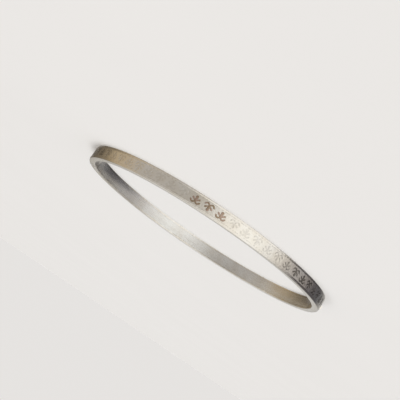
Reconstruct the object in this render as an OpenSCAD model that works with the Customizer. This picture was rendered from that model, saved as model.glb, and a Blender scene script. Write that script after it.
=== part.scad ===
/* [Band] */
// Diameter of the opening that the wrist goes through
inner_d = 60; // [58:0.5:64]
// Width of the band, along its axis
band_w = 3.2; // [3.1:0.05:3.6]
// Thickness of the band, from the wrist outwards
band_t = 1.7; // [1.65:0.05:1.9]
// Width of the plain rim along each edge of the frieze
rim_w = 0.45; // [0.35:0.05:0.5]
// How far each rim slopes down towards the edge
rim_fall = 0.1; // [0.04:0.01:0.12]
// Depth of the frieze field below the rims
field_depth = 0.06; // [0.03:0.01:0.1]
// Gauge of the outer skin of the hollow shells
skin_t = 0.4; // [0.35:0.01:0.45]
// Gauge of the two side walls and of the lining strip
wall_t = 0.35; // [0.3:0.01:0.4]

/* [Frieze] */
// Number of leaf places round the whole band
leaf_places = 66; // [56:2:66]
// Length of the middle lobe of a leaf
leaf_len = 1.2; // [1.0:0.05:1.2]
// Depth that the plain leaves are engraved below the field
leaf_cut = 0.03; // [0.03:0.01:0.1]
// Depth of the three pockets that hold the coloured leaves
pocket_depth = 0.2; // [0.15:0.01:0.24]
// How far the coloured leaves stand above the field
inlay_rise = 0.04; // [0.02:0.01:0.06]

/* [Hinge] */
// Diameter of the hinge pin
pin_d = 0.56; // [0.5:0.02:0.6]
// Outer diameter of the hinge knuckles
knuckle_d = 1.1; // [1.0:0.02:1.16]
// Height of the middle knuckle
middle_knuckle_h = 1.1; // [1:0.05:1.3]
// Angle that the hinge opens to
open_angle = 60; // [30:1:64]
// Length of the solid end blocks along the band
block_len = 2.4; // [2.2:0.1:2.8]

/* [Clasp] */
// Length of the clasp box along the band
box_len = 4.9; // [4.85:0.05:5.0]
// Thickness of the plate that closes the box mouth
plate_t = 0.3; // [0.25:0.05:0.35]
// How far the tongue reaches into the box
tongue_reach = 4.2; // [4.1:0.05:4.25]
// Width of the tongue
tongue_w = 1.9; // [1.6:0.05:2]
// Width of the thumb piece
thumb_w = 0.8; // [0.6:0.05:0.9]

/* [Hidden] */

$fn = 96;
ring_fn = 240;      // facets shown on the large rings
cut = 1;            // how far a cutting shape runs past what it cuts
joint_gap = 0.01;   // left between soldered pieces, where solder would run
seam_gap = 0.02;    // from the mid-plane to each half's end face
run_gap = 0.02;     // radial play of the pin in the middle knuckle
edge_c = 0.12;      // chamfer on the outer edges
inner_c = 0.08;     // chamfer on the edges next to the wrist

inner_r = inner_d / 2;
outer_r = inner_r + band_t;
field_r = outer_r - field_depth;
mid_z = band_w / 2;

// angle along the band that a given length takes up
function arc_angle(len) = len / outer_r * 180 / PI;

// a leaf's lobes, as shares of the middle lobe's length, and their turns from it
heart_share = 0.27;     // from the middle of the leaf's height down to where the lobes meet
petal_root = 0.65;      // width of a petal at its root, as a share of its tip's
petal_spread = 0.95;    // width of a petal's straight sides where they meet its round tip
middle_wide = 0.56;
side_turn = 56;
side_long = 0.93;
side_wide = 0.35;
bent_out = 0.46;        // from the heart sideways to the middle of a bent lobe's curve
bent_up = 0.06;         // and towards the leaf's tip
bent_r = 0.55;          // outer radius of the curve
bent_thick = 0.31;

block_a = arc_angle(block_len);
box_a = arc_angle(box_len);
spigot_len = 1.2;   // how far a block reaches into its shell
spigot_root = 0.2;  // how far a spigot starts inside its block
leaf_pitch = 360 / leaf_places;
half_leaf = 0.4;    // half of a leaf's width, as a share of the pitch
// leaves that fit between the middle of a half and an end piece that takes up end_a
function leaves_to(end_a) = floor((90 - end_a) / leaf_pitch - half_leaf);

hinge_x = outer_r - knuckle_d / 2;
knuckle_gap = 0.05;         // along the pin, between two knuckles
knuckle_swing_gap = 0.06;   // round the other half's knuckles
pin_inset = 0.05;           // from the band's edge to the end of the pin
relief_spare = 2;           // degrees of relief on each half beyond half the opening angle
relief_reach = 3;           // length of the wedge that is cut away, well past the band

// The clasp is drawn as if it were at +X, with the hinge at -X, and mirrored into place.
hinge_to_clasp = hinge_x;
tongue_t = 0.25;
spring_t = 0.2;
tongue_lift = 0.1;                              // gap between the tongue and the floor of the box
tongue_floor = inner_r + wall_t + tongue_lift;  // underside of the tongue at the mouth
tongue_r = hinge_to_clasp + tongue_floor;       // the tongue is bent to this radius about the hinge
tongue_z = mid_z - tongue_w / 2;
tongue_root = 1.6;                              // length of the tongue held in the clasp block
mouth_room = 0.05;                              // gap between the tongue and the mouth below it
mouth_side_room = 0.15;                         // and at each side of it
mouth_low = tongue_floor - mouth_room;
mouth_high = mouth_low + 0.65;
fold_r = 0.19;
fold_lift = 0.12;                               // from the tongue's back to the middle of the fold
fold_swing = tongue_r + tongue_t + fold_lift;   // the fold's distance from the hinge
fold_y = tongue_reach;
fold_x = sqrt(pow(fold_swing, 2) - pow(fold_y, 2)) - hinge_to_clasp;
spring_end_y = 0.4;
spring_end_gap = 0.05;                          // from the sprung leaf's end to the roof of the box
spring_end_x = outer_r - wall_t - spring_t / 2 - spring_end_gap;
spring_a = atan((spring_end_x - fold_x) / (fold_y - spring_end_y));
spring_len = (fold_y - spring_end_y) / cos(spring_a);
thumb_len = 0.6;
thumb_inset = 0.05;                             // from the sprung leaf's end to the thumb piece
thumb_rise = 0.5;                               // how far the thumb piece stands above the band
thumb_grooves = 3;
groove_w = 0.08;
notch_w = thumb_w + 0.2;
notch_len = 1.35;
box_end_wall = 0.25;

// ---- sections and sweeps ----

// the section's lower edge, from the wrist outwards to the top of the rim
lower_edge = [
    [inner_r, inner_c],
    [inner_r + inner_c, 0],
    [outer_r - rim_fall - edge_c, 0],
    [outer_r - rim_fall, edge_c],
    [outer_r, rim_w]
];
upper_edge = [for (i = [len(lower_edge) - 1 : -1 : 0]) [lower_edge[i][0], band_w - lower_edge[i][1]]];

// the section of the plain end blocks
module solid_section() {
    polygon(concat(lower_edge, upper_edge));
}

// the section of the shells, with the field of the frieze set back between the rims
module frieze_section() {
    polygon(concat(lower_edge, [[field_r, rim_w], [field_r, band_w - rim_w]], upper_edge));
}

// a rectangle of the section, inside the hollow, shrunk by gap on every side
module hollow_section(r_low, r_high, gap) {
    translate([r_low + gap, wall_t + gap])
        square([r_high - r_low - 2 * gap, band_w - 2 * (wall_t + gap)]);
}

// sweeps a section round the wrist from one angle to another
module sweep(from, to) {
    rotate([0, 0, from])
        rotate_extrude(angle = to - from, $fn = ring_fn)
            children();
}

// ---- leaves ----

// a lobe along +Y, narrower at the origin and round at its tip
module petal(len, wide, gap) {
    r = wide / 2 - gap;
    tip_y = len - wide / 2;
    root = petal_root * wide / 2 - gap;
    translate([0, tip_y]) circle(r, $fn = 64);
    polygon([[-root, 0], [root, 0], [petal_spread * r, tip_y], [-petal_spread * r, tip_y]]);
}

// half a ring about the origin that opens towards +Y
module bent_lobe(r, thick, gap) {
    difference() {
        circle(r - gap, $fn = 96);
        circle(r - thick + gap, $fn = 96);
        translate([-r, -gap]) square(2 * r);
    }
}

// a leaf of five lobes that points along +Y, centred on its own height and shrunk by gap
module leaf(gap = 0) {
    translate([0, -heart_share * leaf_len]) {
        petal(leaf_len, middle_wide * leaf_len, gap);
        for (side = [0, 1])
            mirror([side, 0]) {
                rotate(-side_turn) petal(side_long * leaf_len, side_wide * leaf_len, gap);
                translate([bent_out, bent_up] * leaf_len)
                    bent_lobe(bent_r * leaf_len, bent_thick * leaf_len, gap);
            }
    }
}

// children drawn flat become a prism that stands outwards from radius r at angle a
module stand_on_band(a, r, height, points_up) {
    rotate([0, 0, a])
        translate([r, 0, mid_z])
            rotate([90, 0, 90])
                rotate([0, 0, points_up ? 0 : 180])
                    linear_extrude(height) children();
}

// neighbouring leaves point opposite ways
function is_up(k) = k % 2 == 0;

// leaves cut into the field, the k-th one being k places round from the middle of the half
module cut_leaves(middle_a, places, depth) {
    for (k = places)
        stand_on_band(middle_a + k * leaf_pitch, field_r - depth, cut, is_up(k))
            leaf();
}

module leaf_inlay(k) {
    color("rosybrown")
        intersection() {
            stand_on_band(270 + k * leaf_pitch, field_r - pocket_depth + joint_gap, cut, is_up(k))
                leaf(joint_gap);
            sweep(270 + (k - 1) * leaf_pitch, 270 + (k + 1) * leaf_pitch)
                translate([inner_r, 0])
                    square([field_r + inlay_rise - inner_r, band_w]);
        }
}

// ---- shells, linings and blocks ----

module shell(from, to) {
    difference() {
        sweep(from, to) frieze_section();
        sweep(from - cut, to + cut)
            translate([inner_r - cut, wall_t])
                square([band_t - skin_t + cut, band_w - 2 * wall_t]);
    }
}

module front_shell() {
    reach = leaves_to(block_a);
    inlay_places = [-1 : 1];
    color("silver")
        difference() {
            shell(180 + block_a, 360 - block_a);
            cut_leaves(270, inlay_places, pocket_depth);
            cut_leaves(270, [for (k = [-reach : reach]) if (abs(k) > 1) k], leaf_cut);
        }
}

module back_shell() {
    color("silver")
        difference() {
            shell(block_a, 180 - box_a);
            cut_leaves(90, [-leaves_to(block_a) : leaves_to(box_a)], leaf_cut);
        }
}

module lining(from, to) {
    color("gainsboro")
        sweep(from, to)
            hollow_section(inner_r - joint_gap, inner_r + wall_t + joint_gap, joint_gap);
}

module front_lining() {
    lining(180 + block_a, 360 - block_a);
}

module back_lining() {
    lining(block_a, 180 - box_a);
}

// the part of a block that fills the end of a hollow shell, from the angle where the block ends
module spigot(at, side) {
    root = at - side * arc_angle(spigot_root);
    tip = at + side * arc_angle(spigot_len);
    sweep(min(root, tip), max(root, tip))
        hollow_section(inner_r + wall_t, outer_r - skin_t, joint_gap);
}

// keeps only what lies on one side of the seam plane, side being 1 for +Y
module half_space(side) {
    size = 3 * outer_r;
    translate([-size / 2, side > 0 ? seam_gap : -seam_gap - size, -cut])
        cube([size, size, band_w + 2 * cut]);
}

// ---- hinge ----

// heights of the three knuckles: lower, middle, upper
middle_low = mid_z - middle_knuckle_h / 2;
middle_high = mid_z + middle_knuckle_h / 2;

module at_hinge(z = 0) {
    translate([hinge_x, 0, z]) children();
}

// room for a knuckle, from z_low to z_high
module knuckle_room(z_low, z_high, gap) {
    at_hinge(z_low)
        cylinder(h = z_high - z_low, d = knuckle_d + 2 * gap);
}

// the wedge cut away outside the pin so that the halves can swing
module swing_relief(side) {
    a = open_angle / 2 + relief_spare;
    at_hinge(-cut)
        linear_extrude(band_w + 2 * cut)
            polygon([[0, 0], [relief_reach, 0], [relief_reach, side * relief_reach * tan(a)]]);
}

module hinge_block(side) {
    from = side > 0 ? 0 : -block_a;
    color("silver")
        difference() {
            union() {
                intersection() {
                    sweep(from, from + block_a) solid_section();
                    half_space(side);
                }
                spigot(side * block_a, side);
            }
            swing_relief(side);
            if (side > 0) {
                knuckle_room(-cut, middle_low - knuckle_gap, knuckle_swing_gap);
                knuckle_room(middle_low - knuckle_gap, middle_high + knuckle_gap, joint_gap);
                knuckle_room(middle_high + knuckle_gap, band_w + cut, knuckle_swing_gap);
            } else {
                knuckle_room(-cut, middle_low - knuckle_gap, joint_gap);
                knuckle_room(middle_low - knuckle_gap, middle_high + knuckle_gap, knuckle_swing_gap);
                knuckle_room(middle_high + knuckle_gap, band_w + cut, joint_gap);
            }
        }
}

module front_hinge_block() {
    hinge_block(-1);
}

module back_hinge_block() {
    hinge_block(1);
}

// a length of hinge tube
module knuckle(z_low, z_high, bore_d) {
    at_hinge()
        difference() {
            translate([0, 0, z_low]) cylinder(h = z_high - z_low, d = knuckle_d);
            translate([0, 0, z_low - cut]) cylinder(h = z_high - z_low + 2 * cut, d = bore_d);
        }
}

module front_knuckles() {
    color("silver") {
        knuckle(0, middle_low - knuckle_gap, pin_d + 2 * joint_gap);
        knuckle(middle_high + knuckle_gap, band_w, pin_d + 2 * joint_gap);
    }
}

module back_knuckle() {
    color("silver")
        knuckle(middle_low, middle_high, pin_d + 2 * run_gap);
}

module hinge_pin() {
    color("lightsteelblue")
        at_hinge(pin_inset)
            cylinder(h = band_w - 2 * pin_inset, d = pin_d);
}

// ---- clasp, drawn at +X and mirrored to -X ----

module at_clasp() {
    mirror([1, 0, 0]) children();
}

// a strip bent about the hinge axis, between two distances along Y
module tongue_strip(from_y, to_y, gap) {
    from_a = asin(from_y / tongue_r);
    to_a = asin(to_y / tongue_r);
    translate([-hinge_to_clasp, 0, 0])
        rotate([0, 0, from_a])
            rotate_extrude(angle = to_a - from_a, $fn = ring_fn)
                translate([tongue_r - gap, tongue_z - gap])
                    square([tongue_t + 2 * gap, tongue_w + 2 * gap]);
}

module at_fold() {
    translate([fold_x, fold_y, tongue_z]) children();
}

module front_clasp_block() {
    color("silver")
        difference() {
            union() {
                intersection() {
                    sweep(180, 180 + block_a) solid_section();
                    half_space(-1);
                }
                spigot(180 + block_a, 1);
            }
            at_clasp() tongue_strip(-tongue_root - joint_gap, cut, joint_gap);
        }
}

module tongue_base() {
    color("lightsteelblue")
        at_clasp()
            difference() {
                tongue_strip(-tongue_root, fold_y + fold_r / 2, 0);
                at_fold()
                    translate([0, 0, -cut])
                        cylinder(h = tongue_w + 2 * cut, r = fold_r + run_gap);
            }
}

// children are drawn along the spring leaf: +Y towards the fold, +X outwards, from the fold's axis
module along_spring() {
    translate([fold_x, fold_y, 0])
        rotate([0, 0, spring_a]) children();
}

module tongue_spring() {
    color("lightsteelblue")
        at_clasp() {
            along_spring()
                translate([-spring_t / 2, -spring_len, tongue_z])
                    cube([spring_t, spring_len, tongue_w]);
            at_fold() cylinder(h = tongue_w, r = fold_r);
        }
}

module thumb_piece() {
    low_y = thumb_inset - spring_len;
    top = (outer_r + thumb_rise - spring_end_x) / cos(spring_a);
    color("silver")
        at_clasp() along_spring()
            difference() {
                translate([spring_t / 2 + joint_gap, low_y, mid_z - thumb_w / 2])
                    cube([top - spring_t / 2, thumb_len, thumb_w]);
                for (i = [1 : thumb_grooves])
                    translate([top, low_y + i * thumb_len / (thumb_grooves + 1) - groove_w / 2, 0])
                        cube([cut, groove_w, band_w]);
            }
}

module clasp_box() {
    hollow_low = inner_r + wall_t;
    hollow_high = outer_r - wall_t;
    hollow_a = arc_angle(box_len - box_end_wall);
    color("silver")
        difference() {
            union() {
                difference() {
                    sweep(180 - box_a, 180) solid_section();
                    sweep(180 - hollow_a, 180 + cut)
                        hollow_section(hollow_low, hollow_high, 0);
                }
                spigot(180 - box_a, -1);
            }
            mouth_slab(-cut, plate_t);
            at_clasp() thumb_notch();
        }
}

// a slab of space across the clasp, between two heights along Y
module mouth_slab(from_y, to_y) {
    translate([-outer_r - cut, from_y, -cut])
        cube([band_t + 2 * cut, to_y - from_y, band_w + 2 * cut]);
}

// the slot that the thumb piece slides out through
module thumb_notch() {
    translate([mouth_high - mouth_room, -cut, mid_z - notch_w / 2])
        cube([band_t, notch_len + cut, notch_w]);
}

module box_mouth_plate() {
    mouth_w = tongue_w + 2 * mouth_side_room;
    color("silver")
        difference() {
            intersection() {
                sweep(180 - box_a, 180) solid_section();
                mouth_slab(seam_gap, plate_t);
            }
            at_clasp() {
                translate([mouth_low, -cut, mid_z - mouth_w / 2])
                    cube([mouth_high - mouth_low, 2 * cut, mouth_w]);
                thumb_notch();
            }
        }
}

front_shell();
front_lining();
front_hinge_block();
front_knuckles();
hinge_pin();
front_clasp_block();
tongue_base();
leaf_inlay(1);  // leaf_inlay_1
leaf_inlay(0);  // leaf_inlay_2
leaf_inlay(-1);  // leaf_inlay_3
tongue_spring();
thumb_piece();
back_shell();
back_lining();
back_hinge_block();
back_knuckle();
clasp_box();
box_mouth_plate();
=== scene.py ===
from math import asin, cos, pi, radians, sin

import bmesh
import bpy
from mathutils import Matrix, Vector
from mathutils.geometry import delaunay_2d_cdt
from mathutils.kdtree import KDTree


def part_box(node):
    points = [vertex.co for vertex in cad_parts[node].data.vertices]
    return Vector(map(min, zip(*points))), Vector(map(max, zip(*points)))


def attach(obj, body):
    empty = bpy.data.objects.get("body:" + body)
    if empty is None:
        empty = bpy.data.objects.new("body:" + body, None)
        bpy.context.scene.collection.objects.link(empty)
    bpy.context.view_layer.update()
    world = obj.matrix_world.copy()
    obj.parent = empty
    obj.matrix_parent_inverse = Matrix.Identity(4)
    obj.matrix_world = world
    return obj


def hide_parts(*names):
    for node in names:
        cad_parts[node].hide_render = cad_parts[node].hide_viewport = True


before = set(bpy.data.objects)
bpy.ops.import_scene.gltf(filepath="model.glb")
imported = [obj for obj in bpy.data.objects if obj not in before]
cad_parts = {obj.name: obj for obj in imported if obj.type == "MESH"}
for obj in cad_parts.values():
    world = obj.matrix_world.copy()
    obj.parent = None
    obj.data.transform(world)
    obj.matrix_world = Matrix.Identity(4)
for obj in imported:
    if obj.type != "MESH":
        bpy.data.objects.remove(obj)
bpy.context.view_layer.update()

# ---- driving dimensions, in millimetres and degrees ----

MM = 0.001
front_low, front_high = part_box("front_shell")
OUTER_R = -front_low.y / MM
BAND_W = front_high.z / MM
BAND_T = 1.7
RIM_W = 0.45
RIM_FALL = 0.1
FIELD_DEPTH = 0.06
SKIN_T = 0.4
WALL_T = 0.35
EDGE_R = 0.14           # rounding of the outer edges
INNER_EDGE_R = 0.08     # rounding of the edges next to the wrist
BLOCK_LEN = 2.4         # solid end blocks, along the band
BOX_LEN = 4.9           # clasp box, along the band
SOLDER_GAP = 0.01
LINING_EDGE_R = 0.04    # rounding of the lining strip's edges
RIM_SLOPE_A = 17        # direction in which the rim's slope runs into the rounded outer edge
# points of the rim's softened top corner: how far below the rim's top, and how far from the field
RIM_CORNER = [(0.015, 0.02), (0.01, 0.05)]

LEAF_PLACES = 66
LEAF_LEN = 1.2
LEAF_CUT = 0.03
POCKET_DEPTH = 0.2
POCKET_EDGE = 0.004     # how far a pocket's floor is inset from its mouth
INLAY_RISE = 0.04
INLAY_GAP = 0.015       # round an inlay, in its pocket
INLAY_EDGE_RISE = 0.015     # how far an inlay's edge stands above the field

INNER_R = OUTER_R - BAND_T
FIELD_R = OUTER_R - FIELD_DEPTH
MID_Z = BAND_W / 2
FIELD_W = BAND_W - 2 * RIM_W
PITCH = 360 / LEAF_PLACES
PITCH_LEN = 2 * pi * OUTER_R / LEAF_PLACES
BLOCK_A = BLOCK_LEN / OUTER_R * 180 / pi
BOX_A = BOX_LEN / OUTER_R * 180 / pi
FRONT_MIDDLE = 270
BACK_MIDDLE = 90

# stations along the band and rows across the field, for each leaf place
CELL_STEPS = 16
CELL_ROWS = 12
FIELD_SPACING = 0.16    # between the points of the flat field
SAME_PLACE = 1e-6       # less than this counts as no distance


def on_band(angle, r, z):
    """The place at that angle round the wrist (degrees), radius and height (mm), in metres."""
    return Vector((r * cos(radians(angle)), r * sin(radians(angle)), z)) * MM


WELD_DISTANCE = 1e-7    # metres


def finish_mesh(bm, name, sharp_angle=28):
    """Closes, triangulates and shades a bmesh, and links it as a new object."""
    bmesh.ops.remove_doubles(bm, verts=bm.verts, dist=WELD_DISTANCE)
    open_edges = [e for e in bm.edges if e.is_boundary]
    if open_edges:
        bmesh.ops.holes_fill(bm, edges=open_edges, sides=0)
    bmesh.ops.triangulate(bm, faces=[f for f in bm.faces if len(f.verts) > 4])
    bmesh.ops.recalc_face_normals(bm, faces=bm.faces)
    for face in bm.faces:
        face.smooth = True
    for edge in bm.edges:
        edge.smooth = edge.calc_face_angle(0) < radians(sharp_angle)
    mesh = bpy.data.meshes.new(name)
    bm.to_mesh(mesh)
    bm.free()
    piece = bpy.data.objects.new(name, mesh)
    bpy.context.scene.collection.objects.link(piece)
    return piece


# ---- leaves ----

# shares of LEAF_LEN, and turns from the middle lobe in degrees
HEART_V = -0.27 * LEAF_LEN      # height of the place where the lobes meet
PETALS = [(0, 1.0, 0.56), (-56, 0.93, 0.35), (56, 0.93, 0.35)]  # turn, length and width
PETAL_ROOT = 0.65       # width at the root, as a share of the round tip's
PETAL_SPREAD = 0.95     # width of the straight sides where they meet the tip
BENT_CENTRE = (0.46 * LEAF_LEN, 0.06 * LEAF_LEN)    # of a base lobe's curve, from the heart
BENT_R = 0.55 * LEAF_LEN
BENT_THICK = 0.31 * LEAF_LEN
VEIN_HALF_W = 0.028
VEIN_STEP = 0.07        # between the points of a vein
VEIN_FIRST = 3          # steps from the heart to where a petal's vein starts
VEIN_SHARE = 0.8        # how much of a petal's length its vein reaches
BENT_VEIN = (-130, -20)     # a base lobe's vein runs between these directions
SWELL_REACH = 0.19      # distance over which a lobe rises or sinks from its edge

# the triangulator's settings: keep everything, or only what the outlines enclose
KEEP_ALL = 0
INSIDE_ONLY = 1


def arc_points(centre, r, start, end, steps):
    """Points of an arc between two directions in radians."""
    points = []
    for i in range(steps + 1):
        a = start + (end - start) * i / steps
        points.append((centre[0] + r * cos(a), centre[1] + r * sin(a)))
    return points


def bent_lobe(gap):
    """A base lobe: half a ring that opens towards the leaf's tip."""
    outer, inner = BENT_R - gap, BENT_R - BENT_THICK + gap
    outer_end, inner_end = asin(gap / outer), asin(gap / inner)
    there = arc_points(BENT_CENTRE, outer, outer_end - pi, -outer_end, 24)
    return there + arc_points(BENT_CENTRE, inner, -inner_end, inner_end - pi, 16)


def turned(points, turn, mirrored=False):
    """Points turned clockwise about the heart, by degrees, and set in the leaf's own frame."""
    c, s = cos(radians(turn)), sin(radians(turn))
    placed = []
    for u, v in points:
        across = u * c + v * s
        placed.append((-across if mirrored else across, v * c - u * s + HEART_V))
    return placed


def leaf_shapes(gap):
    """The overlapping outlines that make up a leaf, shrunk by gap on every side."""
    shapes = []
    for turn, length, width in PETALS:
        r = width * LEAF_LEN / 2 - gap
        tip_v = (length - width / 2) * LEAF_LEN
        root = PETAL_ROOT * width * LEAF_LEN / 2 - gap
        side = PETAL_SPREAD * r
        shapes.append(turned(arc_points((0, tip_v), r, 0, 2 * pi, 24)[:-1], turn))
        shapes.append(turned([(-root, 0), (root, 0), (side, tip_v), (-side, tip_v)], turn))
    for mirrored in (False, True):
        shapes.append(turned(bent_lobe(gap), 0, mirrored))
    return shapes


def leaf_spines():
    """The middle line of each lobe, where its vein runs."""
    spines = []
    for turn, length, _ in PETALS:
        steps = int(VEIN_SHARE * length * LEAF_LEN / VEIN_STEP)
        spines.append(turned([(0, i * VEIN_STEP) for i in range(VEIN_FIRST, steps)], turn))
    start, end = BENT_VEIN
    middle = arc_points(BENT_CENTRE, BENT_R - BENT_THICK / 2, radians(start), radians(end), 11)
    for mirrored in (False, True):
        spines.append(turned(middle, 0, mirrored))
    return spines


def leaf_outline(gap=0.0):
    """The single closed outline round all the lobes."""
    points = []
    shapes = []
    for shape in leaf_shapes(gap):
        shapes.append(list(range(len(points), len(points) + len(shape))))
        points += [Vector(p) for p in shape]
    found, _, faces, _, _, _ = delaunay_2d_cdt(points, [], shapes, INSIDE_ONLY, SAME_PLACE)
    onward = {}
    for face in faces:
        for a, b in zip(face, face[1:] + face[:1]):
            onward[(a, b)] = True
    rim = {a: b for a, b in onward if (b, a) not in onward}
    loop = [next(iter(rim))]
    while rim[loop[-1]] != loop[0]:
        loop.append(rim[loop[-1]])
    return [tuple(found[i]) for i in loop]


def inside(outline):
    """A function that tells whether (u, v) lies inside the outline."""
    sides = list(zip(outline, outline[1:] + outline[:1]))

    def is_inside(u, v):
        crossings = 0
        for (u0, v0), (u1, v1) in sides:
            if (v0 > v) != (v1 > v) and u < u0 + (v - v0) / (v1 - v0) * (u1 - u0):
                crossings += 1
        return crossings % 2 == 1

    return is_inside


def nearness(points):
    """A function that gives the distance from (u, v) to the nearest of the points."""
    tree = KDTree(len(points))
    for i, (u, v) in enumerate(points):
        tree.insert((u, v, 0), i)
    tree.balance()
    return lambda u, v: tree.find((u, v, 0))[2]


def grid(u_low, u_high, v_low, v_high, step):
    """Points on a staggered grid."""
    rows = int((v_high - v_low) / step)
    columns = int((u_high - u_low) / step)
    for j in range(1, rows):
        for i in range(1, columns):
            shift = 0.5 * (j % 2)
            yield u_low + (i + shift) * step, v_low + j * step


class Relief:
    """Points with heights, joined into triangles by lines that must be kept."""

    def __init__(self):
        self.points = []
        self.heights = []
        self.patina = []
        self.lines = []

    def add(self, u, v, height, patina):
        self.points.append(Vector((u, v)))
        self.heights.append(height)
        self.patina.append(patina)
        return len(self.points) - 1

    def add_line(self, points, height, patina, closed=False):
        """height is a number, or a function of u and v."""
        made = []
        for u, v in points:
            made.append(self.add(u, v, height(u, v) if callable(height) else height, patina))
        self.lines += list(zip(made, made[1:]))
        if closed:
            self.lines.append((made[-1], made[0]))

    def triangles(self):
        """(points, heights, patina, triangles) after joining."""
        joined = delaunay_2d_cdt(self.points, self.lines, [], KEEP_ALL, SAME_PLACE)
        points, _, faces, origin, _, _ = joined
        heights = [self.heights[o[0]] if o else 0.0 for o in origin]
        patina = [self.patina[o[0]] if o else 0.0 for o in origin]
        return points, heights, patina, faces


def beside(line, offset):
    """The line moved sideways."""
    moved = []
    for i, (u, v) in enumerate(line):
        before, after = line[max(i - 1, 0)], line[min(i + 1, len(line) - 1)]
        along = Vector(after) - Vector(before)
        along.normalize()
        moved.append((u - along.y * offset, v + along.x * offset))
    return moved


def add_leaf_body(relief, gap, edge, swell, vein, spacing, edge_patina, patina):
    """The lobes, which swell (or sink) from edge, at the outline, to edge + swell.

    Each has a vein cut to the given depth. The outline is shrunk by gap on every side.
    """
    outline = leaf_outline(gap)
    is_inside = inside(outline)
    to_edge = nearness(outline)

    def surface(u, v):
        return edge + swell * sin(min(to_edge(u, v) / SWELL_REACH, 1) * pi / 2)

    relief.add_line(outline, edge, edge_patina, closed=True)
    veins = []
    for spine in leaf_spines():
        for offset, drop in ((-VEIN_HALF_W, 0), (0, vein), (VEIN_HALF_W, 0)):
            line = beside(spine, offset)
            relief.add_line(line, lambda u, v, drop=drop: surface(u, v) - drop, patina)
            veins += line
    to_vein = nearness(veins)
    for u, v in grid(-LEAF_LEN, LEAF_LEN, -LEAF_LEN, LEAF_LEN, spacing):
        if is_inside(u, v) and to_edge(u, v) > 0.4 * spacing and to_vein(u, v) > 0.5 * spacing:
            relief.add(u, v, surface(u, v), patina)
    return outline


def leaf_cell(gap, edge, swell, vein, spacing, edge_patina, patina):
    """One leaf place of the frieze: the flat field round a leaf that sinks into it."""
    relief = Relief()
    half_u, half_v = PITCH_LEN / 2, FIELD_W / 2
    rim = []
    for i in range(CELL_STEPS):
        rim.append((-half_u + i * PITCH_LEN / CELL_STEPS, -half_v))
    for j in range(CELL_ROWS):
        rim.append((half_u, -half_v + j * FIELD_W / CELL_ROWS))
    for i in range(CELL_STEPS):
        rim.append((half_u - i * PITCH_LEN / CELL_STEPS, half_v))
    for j in range(CELL_ROWS):
        rim.append((-half_u, half_v - j * FIELD_W / CELL_ROWS))
    relief.add_line(rim, 0.0, 0.0, closed=True)
    if gap:
        relief.add_line(leaf_outline(), 0.0, 0.0, closed=True)
    outline = add_leaf_body(relief, gap, edge, swell, vein, spacing, edge_patina, patina)
    is_leaf = inside(outline)
    to_edge = nearness(outline + rim)
    for u, v in grid(-half_u, half_u, -half_v, half_v, FIELD_SPACING):
        if not is_leaf(u, v) and to_edge(u, v) > FIELD_SPACING / 2:
            relief.add(u, v, 0.0, 0.0)
    return relief.triangles()


def flipped(cell):
    """The same leaf place with the leaf pointing the other way."""
    points, heights, patina, faces = cell
    return [-p for p in points], heights, patina, faces


# how dark a place is made, from 0 to 1: dirt in the corners and the engraving, and over the leaves
# towards a half's ends also painted dark reflection; and the leaf places from a half's middle over which
# no painted dark reflection is added, counted in the direction of rising angle and against it
CORNER_GRIME = 0.35
MIDDLE_GRIME = 0.15
UNSHADED_PLACES_AFTER = 9
UNSHADED_PLACES_BEFORE = 6
SHADE_RISE_PLACES = 2


# ---- swept sections ----

def corner_arc(r, z, radius, start, end, steps=4):
    """Points of a rounded corner about (r, z), from one direction to another in degrees."""
    points = []
    for i in range(steps + 1):
        a = radians(start + (end - start) * i / steps)
        points.append((r + radius * cos(a), z + radius * sin(a)))
    return points


def half_profile():
    """From the field's lower corner, over the rim, round the lower edge and into the hollow."""
    edge_r = OUTER_R - RIM_FALL
    points = [(FIELD_R, RIM_W)]
    points += [(OUTER_R - down, RIM_W - inset) for down, inset in RIM_CORNER]
    points += corner_arc(edge_r - EDGE_R, EDGE_R, EDGE_R, RIM_SLOPE_A, -90, 5)
    points += corner_arc(INNER_R + INNER_EDGE_R, INNER_EDGE_R, INNER_EDGE_R, -90, -180)
    points += [(INNER_R, WALL_T), (OUTER_R - SKIN_T, WALL_T)]
    return points


def mirrored_up(points):
    return [(r, BAND_W - z) for r, z in reversed(points)]


def ring_stations(start, end, cells):
    """Angles along a half, evenly spaced and landing on the borders of the leaf places."""
    step = PITCH / CELL_STEPS
    if not cells:
        count = max(1, round((end - start) / step))
        return [start + (end - start) * i / count for i in range(count + 1)]
    first, last = cells[0] - PITCH / 2, cells[-1] + PITCH / 2
    before = max(1, round((first - start) / step))
    after = max(1, round((end - last) / step))
    along = round((last - first) / step)
    angles = [start + (first - start) * i / before for i in range(before)]
    angles += [first + step * i for i in range(along)]
    angles += [last + (end - last) * i / after for i in range(after + 1)]
    return angles


def add_strip(bm, rows):
    """Quads between neighbouring rows of vertices."""
    for one, other in zip(rows, rows[1:]):
        for i in range(len(one) - 1):
            bm.faces.new((one[i], one[i + 1], other[i + 1], other[i]))


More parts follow.
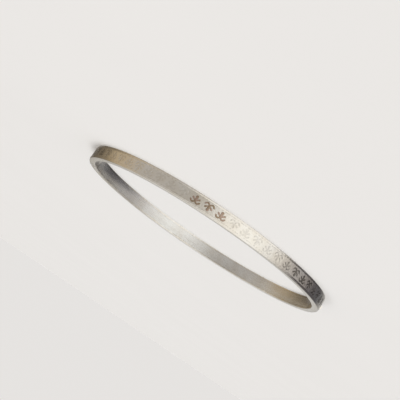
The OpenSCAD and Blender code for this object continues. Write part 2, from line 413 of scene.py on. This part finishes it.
def engraved_shell(name, start, end, leaves):
    """A hollow half: rims, side walls and frieze. leaves is a list of (angle, leaf place, darkness):
    dirt, with painted dark reflection added towards the ends.
    """
    bm = bmesh.new()
    patina = bm.verts.layers.float.new("patina")
    lower = half_profile()
    profile = lower + mirrored_up(lower)
    stations = ring_stations(start, end, [leaf[0] for leaf in leaves])

    rows = []
    for angle in stations:
        row = []
        for i, (r, z) in enumerate(profile):
            vert = bm.verts.new(on_band(angle, r, z))
            vert[patina] = CORNER_GRIME if i in (0, len(profile) - 1) else 0.0
            row.append(vert)
        rows.append(row)
    add_strip(bm, rows)

    first = leaves[0][0] - PITCH / 2
    last = leaves[-1][0] + PITCH / 2
    for low, high in ((start, first), (last, end)):
        rows = []
        for angle in stations:
            if low - SAME_PLACE < angle < high + SAME_PLACE:
                heights = [RIM_W + j * FIELD_W / CELL_ROWS for j in range(CELL_ROWS + 1)]
                rows.append([bm.verts.new(on_band(angle, FIELD_R, z)) for z in heights])
        add_strip(bm, rows)

    for angle, (points, heights, darkness, faces), grime_and_shade in leaves:
        made = []
        for point, height, dark in zip(points, heights, darkness):
            turn = point.x / PITCH_LEN * PITCH
            vert = bm.verts.new(on_band(angle + turn, FIELD_R + height, MID_Z + point.y))
            # the leaf's patina, scaled by its place's dirt and by painted dark reflection towards the
            # ends
            vert[patina] = dark * grime_and_shade
            made.append(vert)
        for face in faces:
            bm.faces.new([made[i] for i in face])
    return finish_mesh(bm, name)


def swept_solid(name, profile, start, end, step=0.4):
    """A closed section swept round the wrist."""
    bm = bmesh.new()
    count = max(1, round((end - start) / step))
    rows = []
    for i in range(count + 1):
        angle = start + (end - start) * i / count
        row = [bm.verts.new(on_band(angle, r, z)) for r, z in profile]
        rows.append(row + row[:1])
    add_strip(bm, rows)
    return finish_mesh(bm, name)


# ---- the pieces ----

def grime_and_shade_at(k):
    """How dark the k-th leaf place is made: the middle's dirt, rising to most near the ends with painted
    dark reflection.
    """
    unshaded_to = UNSHADED_PLACES_AFTER if k > 0 else UNSHADED_PLACES_BEFORE
    rise = min(max((abs(k) - unshaded_to) / SHADE_RISE_PLACES, 0), 1)
    return MIDDLE_GRIME + (1 - MIDDLE_GRIME) * rise


def leaves_to(reach_a):
    """How many leaves fit between the middle of a half and its end, reach_a degrees away."""
    return int((reach_a - 0.4 * PITCH) / PITCH)


def make_shells():
    plain = leaf_cell(
        gap=0, edge=0.0, swell=-LEAF_CUT, vein=0.01, spacing=0.08, edge_patina=0.35, patina=0.9
    )
    pocket = leaf_cell(
        gap=POCKET_EDGE, edge=-POCKET_DEPTH, swell=0.0, vein=0.0, spacing=0.3,
        edge_patina=0.8, patina=0.8,
    )
    for side, middle, start, end in (
        ("front", FRONT_MIDDLE, 180 + BLOCK_A, 360 - BLOCK_A),
        ("back", BACK_MIDDLE, BLOCK_A, 180 - BOX_A),
    ):
        leaves = []
        for k in range(-leaves_to(middle - start), leaves_to(end - middle) + 1):
            cell = pocket if side == "front" and abs(k) <= 1 else plain
            if k % 2:
                cell = flipped(cell)
            # each leaf place's darkness: dirt, plus painted dark reflection towards the ends
            leaves.append((middle + k * PITCH, cell, grime_and_shade_at(k)))
        shell = engraved_shell(side + "_shell_engraved", start, end, leaves)
        shell.data.materials.append(silver)
        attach(shell, side + "_half")
        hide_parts(side + "_shell")


def make_linings():
    low = WALL_T + SOLDER_GAP
    high = BAND_W - low
    soft = LINING_EDGE_R
    inner, outer = INNER_R, INNER_R + WALL_T
    profile = [(outer, low), (outer, high)]
    profile += corner_arc(inner + soft, high - soft, soft, 90, 180, 3)
    profile += corner_arc(inner + soft, low + soft, soft, 180, 270, 3)
    for side, start, end in (
        ("front", 180 + BLOCK_A, 360 - BLOCK_A),
        ("back", BLOCK_A, 180 - BOX_A),
    ):
        lining = swept_solid(side + "_lining_strip", profile, start, end)
        lining.data.materials.append(inner_silver)
        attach(lining, side + "_half")
        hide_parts(side + "_lining")


def make_inlay(number, k):
    """A coloured leaf: flat underneath, domed lobes with veins on top."""
    relief = Relief()
    bottom = FIELD_R - POCKET_DEPTH + SOLDER_GAP
    outline = add_leaf_body(
        relief, gap=INLAY_GAP, edge=FIELD_R + INLAY_EDGE_RISE, swell=INLAY_RISE - INLAY_EDGE_RISE,
        vein=0.008, spacing=0.07, edge_patina=0.4, patina=0.1,
    )
    is_leaf = inside(outline)
    points, heights, patina, faces = relief.triangles()
    turn = -1 if k % 2 else 1
    bm = bmesh.new()
    layer = bm.verts.layers.float.new("patina")
    top = []
    for point, height, dark in zip(points, heights, patina):
        angle = FRONT_MIDDLE + k * PITCH + turn * point.x / PITCH_LEN * PITCH
        vert = bm.verts.new(on_band(angle, height, MID_Z + turn * point.y))
        vert[layer] = dark
        top.append(vert)
    for face in faces:
        middle = sum((points[i] for i in face), Vector((0, 0))) / len(face)
        if is_leaf(middle.x, middle.y):
            bm.faces.new([top[i] for i in face])
    rim_edges = [e for e in bm.edges if e.is_boundary]
    made = bmesh.ops.extrude_edge_only(bm, edges=rim_edges)
    for vert in (g for g in made["geom"] if isinstance(g, bmesh.types.BMVert)):
        flat = Vector((vert.co.x, vert.co.y, 0))
        vert.co = flat.normalized() * bottom * MM + Vector((0, 0, vert.co.z))
        vert[layer] = 1.0
    bmesh.ops.delete(bm, geom=[v for v in bm.verts if not v.link_faces], context="VERTS")
    inlay = finish_mesh(bm, f"coloured_leaf_{number}", sharp_angle=40)
    inlay.data.materials.append(rose_gold)
    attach(inlay, "front_half")
    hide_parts(f"leaf_inlay_{number}")


FLAT_A = 1      # faces that turn by less than this are one flat face
CORNER_A = 32   # and an edge that turns by more is a corner

# node, body, slot, size of the softened edges
SMALL_PARTS = [
    ("front_hinge_block", "front_half", "silver", 0.05),
    ("front_knuckles", "front_half", "hard_silver", 0.03),
    ("hinge_pin", "front_half", "hard_silver", 0.04),
    ("front_clasp_block", "front_half", "silver", 0.05),
    ("tongue_base", "front_half", "hard_silver", 0.03),
    ("tongue_spring", "thumb_leaf", "hard_silver", 0.03),
    ("thumb_piece", "thumb_leaf", "silver", 0.03),
    ("back_hinge_block", "back_half", "silver", 0.05),
    ("back_knuckle", "back_half", "hard_silver", 0.03),
    ("clasp_box", "back_half", "silver", 0.05),
    ("box_mouth_plate", "back_half", "silver", 0.02),
]


def make_small_part(node, body, slot, edge):
    """The CAD part with its edges filed soft."""
    bm = bmesh.new()
    bm.from_mesh(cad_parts[node].data)
    bmesh.ops.remove_doubles(bm, verts=bm.verts, dist=SAME_PLACE)
    bmesh.ops.dissolve_limit(bm, angle_limit=radians(FLAT_A), verts=bm.verts, edges=bm.edges)
    sharp = [e for e in bm.edges if e.calc_face_angle(0) > radians(CORNER_A)]
    bmesh.ops.bevel(
        bm, geom=sharp, offset=edge * MM, segments=2, affect="EDGES", profile=0.5,
        clamp_overlap=True,
    )
    piece = finish_mesh(bm, node + "_filed", sharp_angle=35)
    piece.data.materials.append({"silver": silver, "hard_silver": hard_silver}[slot])
    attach(piece, body)
    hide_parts(node)


# ---- materials ----

class Nodes:
    """Short calls for building a shader's node tree."""

    def __init__(self, owner):
        owner.use_nodes = True
        self.owner = owner
        self.tree = owner.node_tree
        self.tree.nodes.clear()

    def add_surface(self):
        self.shader = self.add("ShaderNodeBsdfPrincipled")
        out = self.add("ShaderNodeOutputMaterial")
        self.link(self.shader.outputs[0], out.inputs["Surface"])

    def add(self, kind, **settings):
        node = self.tree.nodes.new(kind)
        for key, value in settings.items():
            setattr(node, key, value)
        return node

    def link(self, source, target):
        self.tree.links.new(source, target)

    def put(self, value, socket):
        """Sets a socket to a number or colour, or links it to another socket."""
        if isinstance(value, bpy.types.NodeSocket):
            self.link(value, socket)
        else:
            socket.default_value = value

    def math(self, operation, a, b=0.0, clamp=False):
        node = self.add("ShaderNodeMath", operation=operation, use_clamp=clamp)
        self.put(a, node.inputs[0])
        self.put(b, node.inputs[1])
        return node.outputs[0]

    def ramp(self, value, low, high):
        """0 at low, 1 at high."""
        node = self.add("ShaderNodeMapRange", interpolation_type="SMOOTHSTEP")
        self.put(value, node.inputs["Value"])
        node.inputs["From Min"].default_value = low
        node.inputs["From Max"].default_value = high
        return node.outputs["Result"]

    def turn_ramp(self, turn, limits):
        """0 at the first direction, 1 at the second, both in degrees."""
        return self.ramp(turn, radians(limits[0]), radians(limits[1]))

    def mix(self, share, one, other):
        node = self.add("ShaderNodeMix", data_type="RGBA")
        self.put(share, node.inputs["Factor"])
        self.put(one, node.inputs["A"])
        self.put(other, node.inputs["B"])
        return node.outputs["Result"]

    def noise(self, where, scale, detail=3.0, roughness=0.55):
        node = self.add("ShaderNodeTexNoise")
        self.link(where, node.inputs["Vector"])
        node.inputs["Scale"].default_value = scale
        node.inputs["Detail"].default_value = detail
        node.inputs["Roughness"].default_value = roughness
        return node.outputs["Fac"]

    def band_place(self, along=1.0, across=1.0):
        """Millimetres along the band, across it and out from the wrist, stretched."""
        place = self.add("ShaderNodeTexCoord").outputs["Object"]
        parts = self.add("ShaderNodeSeparateXYZ")
        self.link(place, parts.inputs[0])
        x, y, z = parts.outputs
        angle = self.math("ARCTAN2", y, x)
        x2 = self.math("MULTIPLY", x, x)
        y2 = self.math("MULTIPLY", y, y)
        radius = self.math("SQRT", self.math("ADD", x2, y2))
        joined = self.add("ShaderNodeCombineXYZ")
        self.link(self.math("MULTIPLY", angle, OUTER_R * along), joined.inputs[0])
        self.link(self.math("MULTIPLY", z, across / MM), joined.inputs[1])
        self.link(self.math("MULTIPLY", radius, across / MM), joined.inputs[2])
        return joined.outputs[0]

    def bump(self, height, distance, strength=1.0, base=None):
        node = self.add("ShaderNodeBump")
        node.inputs["Strength"].default_value = strength
        node.inputs["Distance"].default_value = distance
        self.link(height, node.inputs["Height"])
        if base is not None:
            self.link(base, node.inputs["Normal"])
        return node.outputs["Normal"]


DENT_DEPTH = 0.00004    # metres


def worn_metal(name, bright, warm, dark, rough, scratch_depth, blotch_scale=0.22):
    """Polished metal: blotches of tone, dirt in the engraving (on the shells also painted dark
    reflection towards the ends), rubbed scratches and small dents.
    """
    n = Nodes(bpy.data.materials.new(name))
    n.add_surface()
    place = n.band_place()
    blotch = n.ramp(n.noise(place, blotch_scale, 4.0), 0.35, 0.68)
    grime_and_shade = n.ramp(n.noise(place, 2.6, 4.0), 0.3, 0.75)
    rubbed = n.noise(n.band_place(0.35, 9.0), 1.3, 5.0, 0.62)
    crossed = n.noise(n.band_place(4.0, 0.8), 2.1, 4.0, 0.6)
    dents = n.noise(place, 1.9, 2.0)
    # patina attribute: patina and dirt in the hollows, and on the shells painted dark reflection towards
    # the ends
    patina = n.add("ShaderNodeAttribute", attribute_name="patina").outputs["Fac"]
    patchy = n.math("ADD", n.math("MULTIPLY", grime_and_shade, 0.3), 0.7)
    dirt_and_shade = n.math("MULTIPLY", patina, patchy, clamp=True)

    tone = n.mix(blotch, bright, warm)
    n.put(n.mix(dirt_and_shade, tone, dark), n.shader.inputs["Base Color"])
    n.shader.inputs["Metallic"].default_value = 1.0
    lines = n.ramp(rubbed, 0.42, 0.72)
    level = n.math("ADD", n.math("MULTIPLY", lines, 0.12), rough)
    level = n.math("ADD", level, n.math("MULTIPLY", n.ramp(crossed, 0.5, 0.8), 0.08))
    level = n.math("ADD", level, n.math("MULTIPLY", dirt_and_shade, 0.22), clamp=True)
    n.put(level, n.shader.inputs["Roughness"])
    soft = n.bump(dents, DENT_DEPTH)
    scratched = n.bump(rubbed, scratch_depth, base=soft)
    n.put(scratched, n.shader.inputs["Normal"])
    return n.owner


def make_floor_material():
    n = Nodes(bpy.data.materials.new("pale_floor"))
    n.add_surface()
    place = n.add("ShaderNodeTexCoord").outputs["Object"]
    grain = n.ramp(n.noise(place, 9.0, 3.0), 0.3, 0.7)
    n.put(n.mix(grain, (0.80, 0.79, 0.78, 1), (0.81, 0.80, 0.79, 1)), n.shader.inputs["Base Color"])
    n.shader.inputs["Roughness"].default_value = 0.9
    n.shader.inputs["Specular IOR Level"].default_value = 0.2
    return n.owner


silver = worn_metal(
    "warm_silver", bright=(0.86, 0.83, 0.77, 1), warm=(0.80, 0.75, 0.66, 1),
    dark=(0.14, 0.12, 0.10, 1), rough=0.1, scratch_depth=0.000002,
)
inner_silver = worn_metal(
    "inner_silver", bright=(0.80, 0.79, 0.76, 1), warm=(0.74, 0.71, 0.66, 1),
    dark=(0.2, 0.18, 0.15, 1), rough=0.26, scratch_depth=0.000006,
)
rose_gold = worn_metal(
    "rose_gold", bright=(0.40, 0.31, 0.21, 1), warm=(0.56, 0.41, 0.35, 1),
    dark=(0.15, 0.11, 0.08, 1), rough=0.22, scratch_depth=0.000003, blotch_scale=1.1,
)
hard_silver = worn_metal(
    "hard_silver", bright=(0.72, 0.71, 0.69, 1), warm=(0.66, 0.64, 0.60, 1),
    dark=(0.2, 0.19, 0.17, 1), rough=0.3, scratch_depth=0.000008,
)

make_shells()
make_linings()
for number, k in ((1, 1), (2, 0), (3, -1)):
    make_inlay(number, k)
for part in SMALL_PARTS:
    make_small_part(*part)


# ---- floor, light and camera ----

FLOOR_R = 6.0       # metres
KEY_FROM = Vector((-0.45, -0.5, 0.85))
KEY_SPREAD = 30     # degrees across, as seen from the bangle


def make_floor():
    """A wide flat floor. The metal reflects the studio's cards and not the floor, as in a light tent."""
    bm = bmesh.new()
    bmesh.ops.create_circle(bm, cap_ends=True, segments=128, radius=FLOOR_R)
    mesh = bpy.data.meshes.new("floor")
    bm.to_mesh(mesh)
    bm.free()
    floor = bpy.data.objects.new("floor", mesh)
    bpy.context.scene.collection.objects.link(floor)
    floor.data.materials.append(make_floor_material())
    floor.visible_glossy = False


# what stands round the bangle, by direction: degrees from the front towards +X, and the card's colour
CARDS = [
    (-180, (0.60, 0.59, 0.57)),
    (-160, (0.45, 0.44, 0.43)),
    (-138, (0.10, 0.10, 0.11)),
    (-118, (0.13, 0.12, 0.13)),
    (-106, (0.34, 0.32, 0.33)),
    (-96, (0.47, 0.45, 0.45)),
    (-82, (0.49, 0.47, 0.47)),
    (-74, (0.68, 0.66, 0.65)),
    (-56, (0.95, 0.94, 0.92)),
    (-38, (1.10, 1.10, 1.08)),
    (-17, (1.05, 1.04, 1.02)),
    (2, (0.69, 0.67, 0.64)),
    (20, (0.48, 0.46, 0.44)),
    (72, (0.48, 0.45, 0.42)),
    (88, (0.52, 0.44, 0.34)),
    (108, (0.46, 0.37, 0.25)),
    (116, (0.28, 0.23, 0.16)),
    (146, (0.12, 0.10, 0.08)),
    (168, (0.50, 0.48, 0.45)),
    (180, (0.60, 0.59, 0.57)),
]
OVERHEAD = (1.0, 1.0, 1.0, 1)
UNDERFOOT = (1.0, 0.98, 0.96, 1)
DIM = (0.07, 0.065, 0.07, 1)
BACKDROP = (0.79, 0.77, 0.75, 1)

# where one part of the studio fades into the next: sines of the height above or below the
# horizon, and degrees round from the front towards +X
OVERHEAD_FROM, OVERHEAD_FULL = 0.45, 0.85
UNDERFOOT_FROM, UNDERFOOT_FULL = 0.42, 0.72
UNDERFOOT_TURN = (55, 5)
DIM_FROM, DIM_FULL = 0.1, 0.32
DIM_UNTIL, DIM_GONE = 0.85, 0.97
DIM_TURN = (-80, -100)
DIM_END_TURN = (-175, -135)


def make_world():
    """Large soft cards all round, a white one overhead, and a plain pale backdrop."""
    world = bpy.data.worlds.new("studio")
    bpy.context.scene.world = world
    n = Nodes(world)
    parts = n.add("ShaderNodeSeparateXYZ")
    n.link(n.add("ShaderNodeTexCoord").outputs["Generated"], parts.inputs[0])
    x, y, z = parts.outputs
    turn = n.math("ARCTAN2", x, n.math("MULTIPLY", y, -1.0))
    place = n.math("ADD", n.math("DIVIDE", turn, 2 * pi), 0.5)
    ramp = n.add("ShaderNodeValToRGB")
    n.link(place, ramp.inputs[0])
    stops = ramp.color_ramp.elements
    stops.remove(stops[-1])
    for i, (angle, colour) in enumerate(CARDS):
        stop = stops[0] if i == 0 else stops.new(angle / 360 + 0.5)
        stop.position = angle / 360 + 0.5
        stop.color = (*colour, 1)
    light = n.mix(n.ramp(z, OVERHEAD_FROM, OVERHEAD_FULL), ramp.outputs[0], OVERHEAD)
    depth = n.math("MULTIPLY", z, -1.0)
    below = n.ramp(depth, UNDERFOOT_FROM, UNDERFOOT_FULL)
    below = n.math("MULTIPLY", below, n.turn_ramp(turn, UNDERFOOT_TURN))
    light = n.mix(below, light, UNDERFOOT)
    slope = n.math("ABSOLUTE", z)
    beyond_cards = n.ramp(slope, DIM_FROM, DIM_FULL)
    beyond_cards = n.math("MULTIPLY", beyond_cards, n.ramp(slope, DIM_GONE, DIM_UNTIL))
    clasp_side = n.math("MULTIPLY", n.turn_ramp(turn, DIM_TURN), n.turn_ramp(turn, DIM_END_TURN))
    path = n.add("ShaderNodeLightPath")
    mirrored = n.math("MULTIPLY", clasp_side, path.outputs["Is Glossy Ray"])
    light = n.mix(n.math("MULTIPLY", beyond_cards, mirrored), light, DIM)
    background = n.add("ShaderNodeBackground")
    n.link(n.mix(path.outputs["Is Camera Ray"], light, BACKDROP), background.inputs["Color"])
    out = n.add("ShaderNodeOutputWorld")
    n.link(background.outputs[0], out.inputs["Surface"])


def make_lights():
    """The cards, and a wide key light that the metal doesn't mirror."""
    make_world()
    data = bpy.data.lights.new("key", "SUN")
    data.energy = 1.0
    data.angle = radians(KEY_SPREAD)
    data.color = (1.0, 0.98, 0.95)
    lamp = bpy.data.objects.new("key", data)
    lamp.rotation_euler = (-KEY_FROM).to_track_quat("-Z", "Y").to_euler()
    lamp.visible_glossy = False
    bpy.context.scene.collection.objects.link(lamp)


LENS = 81
SENSOR_W = 36
NEAREST_SEEN = 0.005
CAMERA_DISTANCE = 0.1794        # from the band to the camera, in metres
AIM_ANGLE = FRONT_MIDDLE + 4.1
AIM_Z = MID_Z - 0.29
HEADING, RAISED, ROLLED = 5.2, 9.3, -145.95     # degrees


def make_camera():
    """Close in front of the leaves and a little above the ring's plane, rolled well over."""
    data = bpy.data.cameras.new("camera")
    data.lens = LENS
    data.sensor_width = SENSOR_W
    data.clip_start = NEAREST_SEEN
    camera = bpy.data.objects.new("camera", data)
    aim = on_band(AIM_ANGLE, OUTER_R, AIM_Z)
    heading, raised, rolled = radians(HEADING), radians(RAISED), radians(ROLLED)
    ahead = Vector((sin(heading) * cos(raised), cos(heading) * cos(raised), -sin(raised)))
    place = Matrix.Translation(aim - ahead * CAMERA_DISTANCE)
    upright = ahead.to_track_quat("-Z", "Y").to_matrix().to_4x4()
    camera.matrix_world = place @ upright @ Matrix.Rotation(rolled, 4, "Z")
    bpy.context.scene.collection.objects.link(camera)
    bpy.context.scene.camera = camera


make_floor()
make_lights()
make_camera()
bpy.context.scene.view_settings.view_transform = "Standard"
